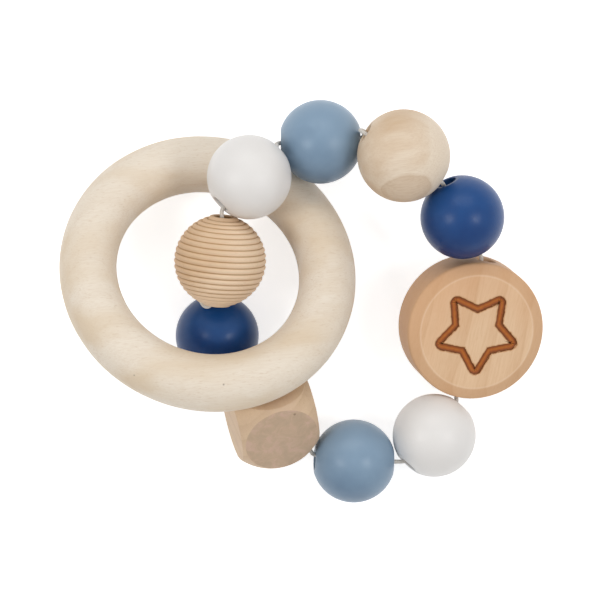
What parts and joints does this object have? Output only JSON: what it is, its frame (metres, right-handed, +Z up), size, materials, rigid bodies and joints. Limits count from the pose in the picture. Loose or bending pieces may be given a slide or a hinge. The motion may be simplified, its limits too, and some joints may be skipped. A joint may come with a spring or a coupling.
{
  "type": "baby rattle",
  "caption": "Wooden grasping rattle: a round teething ring linked with a closed loop of painted and bare wooden beads, a star disc and a cube on elastic cord.",
  "frame": {"origin": "on the ground, below the middle of the toy as it lies", "axes": "+Z up, +X along the toy's longer side from the ring to the star disc"},
  "size_m": [0.1152, 0.0964, 0.0391],
  "materials": {
    "white_paint": "satin white paint on beech",
    "light_blue_paint": "satin light blue paint on beech",
    "navy_paint": "satin navy paint on beech",
    "bare_beech": "sanded, unfinished",
    "bare_maple": "sanded, unfinished",
    "white_elastic": "braided elastic"
  },
  "bodies": {
    "cord": {"elastic_cord": "white_elastic", "cord_knot": "white_elastic"},
    "white_bead_upper": {"white_bead_upper": "white_paint"},
    "light_blue_bead_upper": {"light_blue_bead_upper": "light_blue_paint"},
    "natural_bead": {"natural_bead": "bare_beech"},
    "navy_bead_outer": {"navy_bead_outer": "navy_paint"},
    "star_disc": {"star_disc": "bare_maple"},
    "white_bead_lower": {"white_bead_lower": "white_paint"},
    "light_blue_bead_lower": {"light_blue_bead_lower": "light_blue_paint"},
    "cube_bead": {"cube_bead": "bare_beech"},
    "navy_bead_inner": {"navy_bead_inner": "navy_paint"},
    "ribbed_bead": {"ribbed_bead": "bare_maple"},
    "teething_ring": {"teething_ring": "bare_beech"}
  },
  "joints": [
    {"name": "white_bead_upper_spin", "type": "hinge", "parent": "cord", "child": "white_bead_upper", "pos_m": [-0.01264, 0.02956, 0.02546], "axis": [0.7105, 0.6861, -0.1564], "continuous": true},
    {"name": "light_blue_bead_upper_spin", "type": "hinge", "parent": "cord", "child": "light_blue_bead_upper", "pos_m": [0.00426, 0.03819, 0.01825], "axis": [1, 0, 0], "continuous": true},
    {"name": "natural_bead_spin", "type": "hinge", "parent": "cord", "child": "natural_bead", "pos_m": [0.02388, 0.03457, 0.02572], "axis": [0.8576, -0.4951, -0.1392], "continuous": true},
    {"name": "navy_bead_outer_spin", "type": "hinge", "parent": "cord", "child": "navy_bead_outer", "pos_m": [0.03802, 0.02024, 0.01878], "axis": [0.4062, -0.8712, -0.2756], "continuous": true},
    {"name": "star_disc_spin", "type": "hinge", "parent": "cord", "child": "star_disc", "pos_m": [0.04038, -0.00586, 0.01005], "axis": [-0.2115, -0.9618, -0.1736], "continuous": true},
    {"name": "white_bead_lower_spin", "type": "hinge", "parent": "cord", "child": "white_bead_lower", "pos_m": [0.03164, -0.03206, 0.00996], "axis": [-0.6641, -0.7376, 0.1219], "continuous": true},
    {"name": "light_blue_bead_lower_spin", "type": "hinge", "parent": "cord", "child": "light_blue_bead_lower", "pos_m": [0.0123, -0.03819, 0.01041], "axis": [-0.9956, 0.0348, 0.0872], "continuous": true},
    {"name": "cube_bead_spin", "type": "hinge", "parent": "cord", "child": "cube_bead", "pos_m": [-0.00767, -0.02679, 0.01445], "axis": [-0.7584, 0.65, 0.0489], "range_deg": [-10, 4]},
    {"name": "navy_bead_inner_spin", "type": "hinge", "parent": "cord", "child": "navy_bead_inner", "pos_m": [-0.02054, -0.00804, 0.00999], "axis": [-0.1511, 0.954, 0.2588], "continuous": true},
    {"name": "ribbed_bead_spin", "type": "hinge", "parent": "cord", "child": "ribbed_bead", "pos_m": [-0.01959, 0.0098, 0.0216], "axis": [0.0858, 0.9811, 0.1736], "continuous": true},
    {"name": "ring_swing", "type": "hinge", "parent": "cord", "child": "teething_ring", "pos_m": [-0.02248, 0.0071, 0.01956], "axis": [-0.9397, 0.342, 0], "range_deg": [0, 80]}
  ]
}
